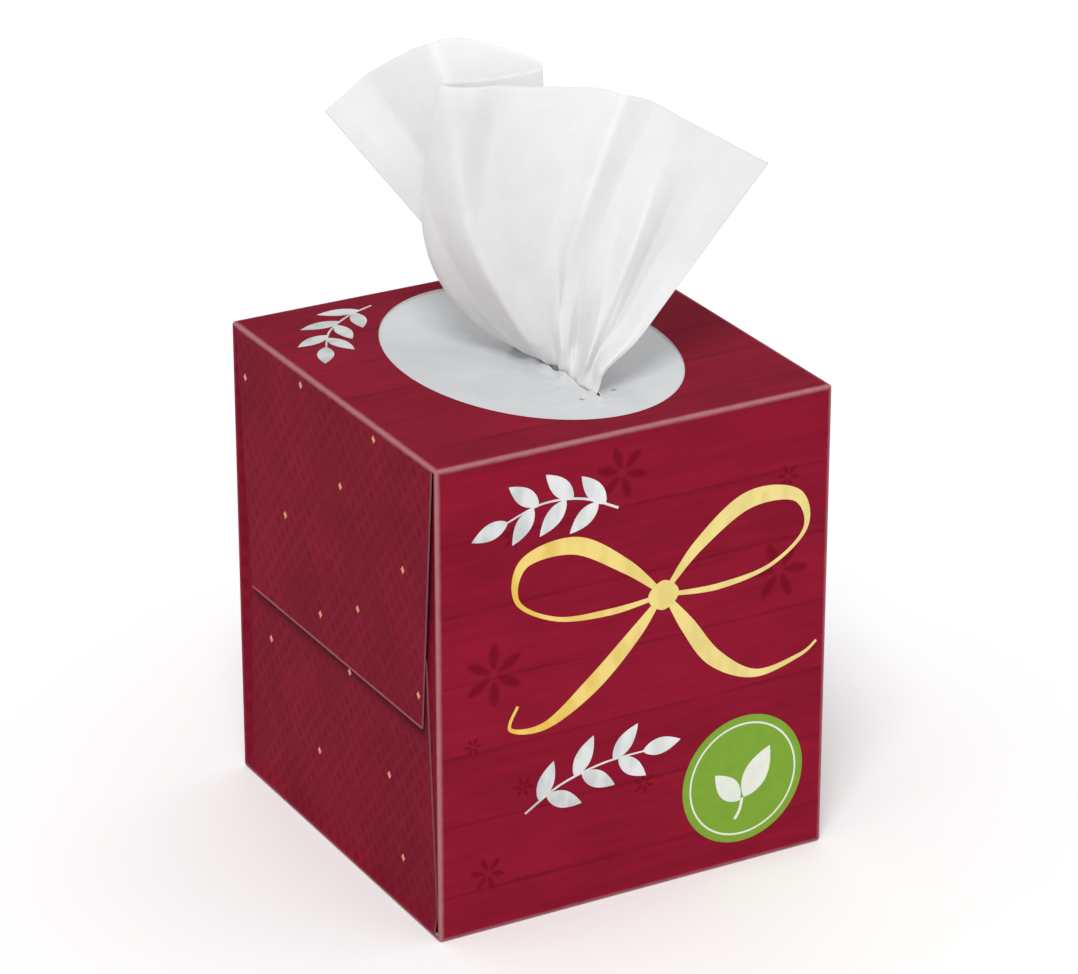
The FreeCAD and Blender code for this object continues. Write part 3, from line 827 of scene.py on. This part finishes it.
class TISSUECARTON_OT_window_film(bpy.types.Operator):
    """Makes the film window with its raised, wavy slit"""
    bl_idname = "tissuecarton.window_film"
    bl_label = "Make the film window"

    def execute(self, context):
        look = context.scene.window_film
        around, rings = 240, 40
        margin = 0.2
        half_x = (FILM_HIGH.x - FILM_LOW.x) / 2 / MM - margin
        half_y = (FILM_HIGH.y - FILM_LOW.y) / 2 / MM - margin
        bm = bmesh.new()
        rows = []
        for k in range(around):
            angle = math.tau * k / around
            c, s = math.cos(angle), math.sin(angle)
            gape = slit_half(s, look.slit_gape / MM)
            inner = Vector((math.copysign(gape, c) if abs(c) > 1e-6 else 0.0,
                            s * (look.slit_length / MM / 2 + 0.3)))
            if abs(c) < 0.2:
                inner.x *= abs(c) / 0.2
            reach = min(half_x / max(abs(c), 1e-6), half_y / max(abs(s), 1e-6))
            outer = Vector((c * reach, s * reach))
            row = []
            for r in range(rings + 1):
                p = inner.lerp(outer, (r / rings) ** 1.6)
                off = (p - inner).length
                wave = noise.noise(Vector((p.x * 0.35, p.y * 0.22, 3.0)))
                lip = look.lip / MM * math.exp(-(off / 1.6) ** 2) * (0.75 + 0.9 * wave)
                ripple = 0.35 * noise.noise(Vector((p.x * 0.09, p.y * 0.06, 1.0)))
                crumple = noise.noise(Vector((p.x * 0.5, p.y * 0.33, 9.0)))
                ripple += (0.25 * wave + 0.55 * crumple) * math.exp(-(off / 6.0) ** 2)
                # The film lies flat where it is glued under the board, round the opening
                oval = math.hypot(p.x / OPENING_HALF_X, p.y / OPENING_HALF_Y)
                free = max(0.0, min(1.0, (0.97 - oval) / 0.12))
                z = FILM_TOP - 0.02 + (lip + ripple - 0.1) * free
                row.append(bm.verts.new(Vector((OPENING_X + p.x, OPENING_Y + p.y, z)) * MM))
            rows.append(row)
        for k in range(around):
            one, two = rows[k], rows[(k + 1) % around]
            for r in range(rings):
                bm.faces.new([one[r], one[r + 1], two[r + 1], two[r]])
        film = new_piece("film_window", bm, film_finish(look), "film", smooth=True)
        if any(face.normal.z < -0.5 for face in film.data.polygons):
            film.data.flip_normals()
        solid = film.modifiers.new("film", "SOLIDIFY")
        solid.thickness = look.film
        solid.offset = -1
        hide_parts("window_film")
        return {"FINISHED"}


class TISSUECARTON_OT_tissue_stack(bpy.types.Operator):
    """Makes the stack of folded tissues that stands inside"""
    bl_idname = "tissuecarton.tissue_stack"
    bl_label = "Make the stack"

    def execute(self, context):
        half = Vector((STACK_HIGH - STACK_LOW)) / 2 / MM
        low, high = STACK_LOW.z / MM, STACK_HIGH.z / MM
        level, flat = high - STACK_SHOULDER, half.y - STACK_SHOULDER
        leg = [(half.y, low + (level - low) * k / 12) for k in range(12)]
        bend = [(flat + STACK_SHOULDER * math.cos(a), level + STACK_SHOULDER * math.sin(a))
                for a in (math.pi / 2 * k / 16 for k in range(17))]
        crest = [(flat * (1 - k / 6), high) for k in range(1, 7)]
        front, back = ([(sign * y, z) for y, z in leg + bend + crest] for sign in (-1, 1))
        outline = front + back[::-1][1:]
        columns = 40
        bm = bmesh.new()
        rows = []
        for i in range(columns + 1):
            x = half.x * (2 * i / columns - 1)
            row = []
            for y, z in outline:
                inward = 0.35 + 0.35 * noise.noise(Vector((x * 0.05, y * 0.06, z * 0.05)))
                pull = (Vector((0.0, z * 0.6)) - Vector((y, z))).normalized() * inward
                row.append(bm.verts.new(Vector((x * 0.997, y + pull.x, max(low, z + pull.y))) * MM))
            rows.append(row)
        for one, two in zip(rows, rows[1:]):
            for k in range(len(outline) - 1):
                bm.faces.new([one[k], one[k + 1], two[k + 1], two[k]])
            bm.faces.new([one[-1], one[0], two[0], two[-1]])
        bm.faces.new(rows[0])
        bm.faces.new(rows[-1][::-1])
        bmesh.ops.triangulate(bm, faces=[face for face in bm.faces if len(face.verts) > 4])
        tint = context.scene.tissue_sheets.tint
        stack = new_piece("folded_stack", bm, tissue_finish("stacked_tissue", tint, 0.8, edges=True),
                          "tissue_paper")
        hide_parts("tissue_stack")
        return {"FINISHED"}


# Free edge of the drawn tissue from its back corner to its front corner: share of the width, then
# right, back (shares of the reach) and up (share of the rise)
FREE_EDGE = [
    (0.00, -0.86, 0.37, 0.81), (0.09, -0.63, 0.35, 0.98), (0.18, -0.38, 0.32, 1.11),
    (0.26, -0.14, 0.30, 1.08), (0.31, 0.05, 0.23, 1.03), (0.37, -0.12, 0.15, 1.01),
    (0.43, -0.37, 0.10, 1.00), (0.49, -0.20, 0.03, 1.00), (0.62, 0.12, 0.02, 1.01),
    (0.76, 0.42, 0.00, 0.99), (0.88, 0.70, 0.00, 0.86), (1.00, 0.98, -0.02, 0.73),
]
FAN_TURN = math.radians(29.2)
FAN_RIGHT = Vector((math.cos(FAN_TURN), -math.sin(FAN_TURN), 0))
FAN_BACK = Vector((math.sin(FAN_TURN), math.cos(FAN_TURN), 0))
# Creases of the drawn tissue: share of the width where it leaves the slit and where it meets the free
# edge, how far it stands out, half its breadth, and the rise of its middle and its reach
CREASES = [
    (0.60, 0.45, 6.5, 0.055, 0.45, 0.42), (0.70, 0.60, 4.6, 0.045, 0.12, 0.24),
    (0.62, 0.745, 5.0, 0.060, 0.75, 0.45), (0.66, 0.70, -4.4, 0.045, 0.30, 0.25),
    (0.85, 0.84, 4.4, 0.045, 0.55, 0.24), (0.86, 0.74, 4.6, 0.050, 0.15, 0.20),
    (0.78, 0.68, -4.8, 0.045, 0.12, 0.18), (0.92, 0.92, -3.2, 0.050, 0.40, 0.35),
    (0.97, 0.97, 3.6, 0.050, 0.16, 0.14), (0.20, 0.17, 5.0, 0.060, 0.70, 0.55),
    (0.10, 0.07, -4.0, 0.050, 0.60, 0.50), (0.52, 0.52, -3.2, 0.050, 0.80, 0.35),
]
# Ends of the gather along the slit, and how far the back layers run forward in it
GATHER_BACK = 3.0
GATHER_FRONT = -34.0
BACK_RUN = 15.0
# Shares of the width at which the sheet turns back on itself
FRONT_FOLD = 0.43
BACK_FOLD = 0.31
# Height of the gather over the film, and of the sheet's foot over the stack
GATHER_HEIGHT = 0.45
FOOT_HEIGHT = 0.4


def smooth_share(value, low, high):
    """How far a value is on its smooth way from low to high."""
    share = max(0.0, min(1.0, (value - low) / (high - low)))
    return share * share * (3 - 2 * share)


def hump(value, middle, reach):
    """1 at the middle, falling off to both sides."""
    return math.exp(-((value - middle) / reach) ** 2)


def free_edge(across):
    """A point of the free edge, by cubic pieces between its stations."""
    k = 0
    while k < len(FREE_EDGE) - 2 and across > FREE_EDGE[k + 1][0]:
        k += 1

    def slope(j):
        a, b = FREE_EDGE[max(j - 1, 0)], FREE_EDGE[min(j + 1, len(FREE_EDGE) - 1)]
        return (Vector(b[1:]) - Vector(a[1:])) / (b[0] - a[0])

    first, second = FREE_EDGE[k], FREE_EDGE[k + 1]
    width = second[0] - first[0]
    t = (across - first[0]) / width
    return (Vector(first[1:]) * (2 * t ** 3 - 3 * t * t + 1) + slope(k) * (width * (t ** 3 - 2 * t * t + t))
            + Vector(second[1:]) * (3 * t * t - 2 * t ** 3) + slope(k + 1) * (width * (t ** 3 - t * t)))


def stack_top(y):
    """Height of the stack's top above a place along Y."""
    beyond = max(0.0, abs(y) - (STACK_HIGH.y / MM - STACK_SHOULDER))
    return STACK_HIGH.z / MM - STACK_SHOULDER + math.sqrt(max(0.0, STACK_SHOULDER ** 2 - beyond ** 2))


def gathered(across):
    """Place in the slit, across it and along it, of a line of the tissue."""
    if across < BACK_FOLD:
        x, y = 1.0, GATHER_BACK - BACK_RUN * across / BACK_FOLD
    elif across < FRONT_FOLD:
        share = smooth_share(across, BACK_FOLD, FRONT_FOLD)
        x, y = 1.0 - 1.7 * share, GATHER_BACK - BACK_RUN * (1 - share)
    else:
        share = (across - FRONT_FOLD) / (1 - FRONT_FOLD)
        x, y = -0.7, GATHER_BACK + (GATHER_FRONT - GATHER_BACK) * share ** 0.75
    swing = noise.noise(Vector((across * 15.0, 5.0, 0.0))) * (0.3 if across < FRONT_FOLD else 1.6)
    room = max(0.0, 1 - (y / HALF_SLIT) ** 2) ** 0.6
    return (x + swing) * room, y


def creases_at(across, rise):
    """Each crease's depth, with how far the place lies off its line and off its middle."""
    for low, high, depth, breadth, middle, reach in CREASES:
        off = abs(across - low - (high - low) * rise ** 0.8) / breadth
        yield depth, off, (rise - middle) / reach


def tissue_point(across, rise, look):
    """A point of the drawn tissue: rise is -1 at its foot, 0 in the slit and 1 at its free edge."""
    centre = Vector((OPENING_X, OPENING_Y, FILM_TOP + GATHER_HEIGHT))
    x, y = gathered(across)
    gather = centre + Vector((x, y, 0))
    if rise <= 0:
        return gather + Vector((0, 0, rise * (centre.z - stack_top(gather.y) - FOOT_HEIGHT)))
    edge = free_edge(across)
    reach = look.reach / MM
    top = centre + FAN_RIGHT * (edge.x * reach) + FAN_BACK * (edge.y * reach)
    top = top + Vector((0, 0, edge.z * look.rise / MM))
    point = gather.lerp(top, rise)
    ridge = noise.noise(Vector((across * 9.0, rise * 0.8, 4.0)))
    ridge += noise.noise(Vector((across * 30.0, rise * 1.5, 8.0))) * 0.7 * (1 - rise)
    for depth, off, along in creases_at(across, rise):
        if off < 1:
            crest = 1 - math.sqrt(off * off + 0.02) + 0.01
            ridge -= depth * max(0.0, crest) ** 1.3 * hump(along, 0.0, 1.0)
    point = point + FAN_BACK * (ridge * min(1.0, rise / 0.10))
    round_fold = math.sin(math.pi * rise ** 0.68)
    belly = hump(across, FRONT_FOLD, 0.06 if across < FRONT_FOLD else 0.16) * round_fold
    puff = hump(across, 0.53, 0.11) * round_fold
    roll = hump(rise, 0.12, 0.08) * max(0.0, (across - 0.8) / 0.2)
    return point - FAN_RIGHT * (look.belly / MM * belly + 3.0 * roll) - FAN_BACK * (3.5 * puff + 1.5 * roll)


def tissue_whiteness(across, rise):
    """Painted light on the tissue: 0 is plain, more is a painted highlight, less is painted shade."""
    rise = max(rise, 0.0)
    whiteness = 0.0
    # Painted highlight along the creases pushed forward, painted shade along those pushed back
    for depth, off, along in creases_at(across, rise):
        whiteness += hump(off, 0.0, 0.13) * hump(along, 0.0, 1.2) * (0.34 if depth > 0 else -0.12)
    # Painted shade on the free corner at the right
    whiteness -= 0.36 * smooth_share(across, 0.74, 0.93) * smooth_share(rise, 0.35, 0.75)
    # Painted highlight near the top of the back layers
    fold = smooth_share(across, 0.14, 0.22) * (1 - smooth_share(across, 0.42, 0.44))
    return whiteness + 0.42 * fold * smooth_share(rise, 0.6, 0.85)


class TISSUECARTON_OT_drawn_tissue(bpy.types.Operator):
    """Makes the gathered tissue that is fanned out over the slit"""
    bl_idname = "tissuecarton.drawn_tissue"
    bl_label = "Make the drawn tissue"

    def execute(self, context):
        look = context.scene.tissue_sheets
        columns, rows = 420, 90
        rises = [-1.0, -0.75, -0.5, -0.25] + [(k / rows) ** 1.15 for k in range(rows + 1)]
        bm = bmesh.new()
        whiteness = bm.verts.layers.float.new("whiteness")
        grid = []
        for i in range(columns + 1):
            across = i / columns
            grid.append([bm.verts.new(tissue_point(across, rise, look) * MM) for rise in rises])
            for vertex, rise in zip(grid[-1], rises):
                vertex[whiteness] = tissue_whiteness(across, rise)
        for one, two in zip(grid, grid[1:]):
            for j in range(len(rises) - 1):
                bm.faces.new([one[j], two[j], two[j + 1], one[j + 1]])
        tissue = new_piece("fanned_tissue", bm, tissue_finish("drawn_tissue_paper", look.tint),
                           "tissue_paper", smooth=True)
        solid = tissue.modifiers.new("plies", "SOLIDIFY")
        solid.thickness = look.ply
        solid.offset = 0
        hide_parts("drawn_tissue")
        return {"FINISHED"}


# Where the camera stands, in metres, and its ways ahead and to the right
CAMERA_PLACE = (-0.5208, -0.9392, 0.5603)
CAMERA_AHEAD = Vector((0.44647, 0.79986, -0.40112))
CAMERA_RIGHT = Vector((0.87318, -0.48740, 0.0))
# The way that the overhead light shines, and how broad it looks from the carton
LIGHT_WAY = Vector((0.25, 0.35, -0.63))
LIGHT_BREADTH = math.radians(22)


class TISSUECARTON_OT_studio(bpy.types.Operator):
    """Sets the floor, the lights and the camera"""
    bl_idname = "tissuecarton.studio"
    bl_label = "Set the studio"

    def execute(self, context):
        look = context.scene.studio
        scene = context.scene
        bm = bmesh.new()
        bmesh.ops.create_grid(bm, x_segments=8, y_segments=8, size=6.0)
        w = Finish("pale_floor")
        mottle = w.fade(w.noise(w.place, 0.004, 2.0), 0.3, 0.7)
        w.set(base_color=w.mix(mottle, shaded(look.floor_tint, 0.99), look.floor_tint), roughness=0.9,
              specular_ior_level=0.1)
        floor = shown("studio_floor", bm, w.material)
        floor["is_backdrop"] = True
        world = bpy.data.worlds.new("soft_studio")
        world.use_nodes = True
        surround = world.node_tree.nodes["Background"].inputs
        surround["Color"].default_value = (1.0, 1.0, 1.0, 1)
        surround["Strength"].default_value = look.sky
        scene.world = world
        light = bpy.data.lights.new("overhead_light", "SUN")
        light.energy = look.key
        light.angle = LIGHT_BREADTH
        overhead = placed("overhead_light", light)
        overhead.rotation_euler = LIGHT_WAY.to_track_quat("-Z", "Y").to_euler()
        scene.view_settings.view_transform = "Standard"
        camera = placed("camera", bpy.data.cameras.new("camera"))
        camera.data.lens = look.focal
        camera.data.sensor_width = 36.0
        camera.data.clip_start, camera.data.clip_end = 0.05, 50.0
        camera.location = CAMERA_PLACE
        ahead, right = CAMERA_AHEAD.normalized(), CAMERA_RIGHT.normalized()
        up = right.cross(ahead).normalized()
        camera.rotation_euler = Matrix((right, up, -ahead)).transposed().to_euler()
        scene.camera = camera
        return {"FINISHED"}


class TISSUECARTON_PT_sidebar(bpy.types.Panel):
    """Lists the carton's settings and steps in the sidebar"""
    bl_idname = "TISSUECARTON_PT_sidebar"
    bl_label = "Tissue carton"
    bl_space_type = "VIEW_3D"
    bl_region_type = "UI"
    bl_category = "Tissue carton"

    def draw(self, context):
        for holder in LOOKS:
            box = self.layout.box()
            box.label(text=holder.replace("_", " ").capitalize())
            group = getattr(context.scene, holder)
            for name in group.__annotations__:
                box.prop(group, name)
        for step in STEPS:
            self.layout.operator(step.bl_idname)


LOOKS = {"carton_print": CartonPrint, "foil_ornaments": FoilOrnaments, "window_film": WindowFilm,
         "tissue_sheets": TissueSheets, "studio": Studio}
STEPS = [TISSUECARTON_OT_print_board, TISSUECARTON_OT_gold_bow, TISSUECARTON_OT_silver_sprigs,
         TISSUECARTON_OT_green_roundel, TISSUECARTON_OT_window_film, TISSUECARTON_OT_tissue_stack,
         TISSUECARTON_OT_drawn_tissue, TISSUECARTON_OT_studio]


def register():
    for holder, group in LOOKS.items():
        bpy.utils.register_class(group)
        setattr(bpy.types.Scene, holder, PointerProperty(type=group))
    for step in STEPS:
        bpy.utils.register_class(step)
    bpy.utils.register_class(TISSUECARTON_PT_sidebar)


def unregister():
    bpy.utils.unregister_class(TISSUECARTON_PT_sidebar)
    for step in reversed(STEPS):
        bpy.utils.unregister_class(step)
    for holder, group in reversed(LOOKS.items()):
        delattr(bpy.types.Scene, holder)
        bpy.utils.unregister_class(group)


def main():
    register()
    bpy.ops.tissuecarton.print_board()
    bpy.ops.tissuecarton.gold_bow()
    bpy.ops.tissuecarton.silver_sprigs()
    bpy.ops.tissuecarton.green_roundel()
    bpy.ops.tissuecarton.window_film()
    bpy.ops.tissuecarton.tissue_stack()
    bpy.ops.tissuecarton.drawn_tissue()
    bpy.ops.tissuecarton.studio()
    visual_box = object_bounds()


if __name__ == "__main__":
    main()
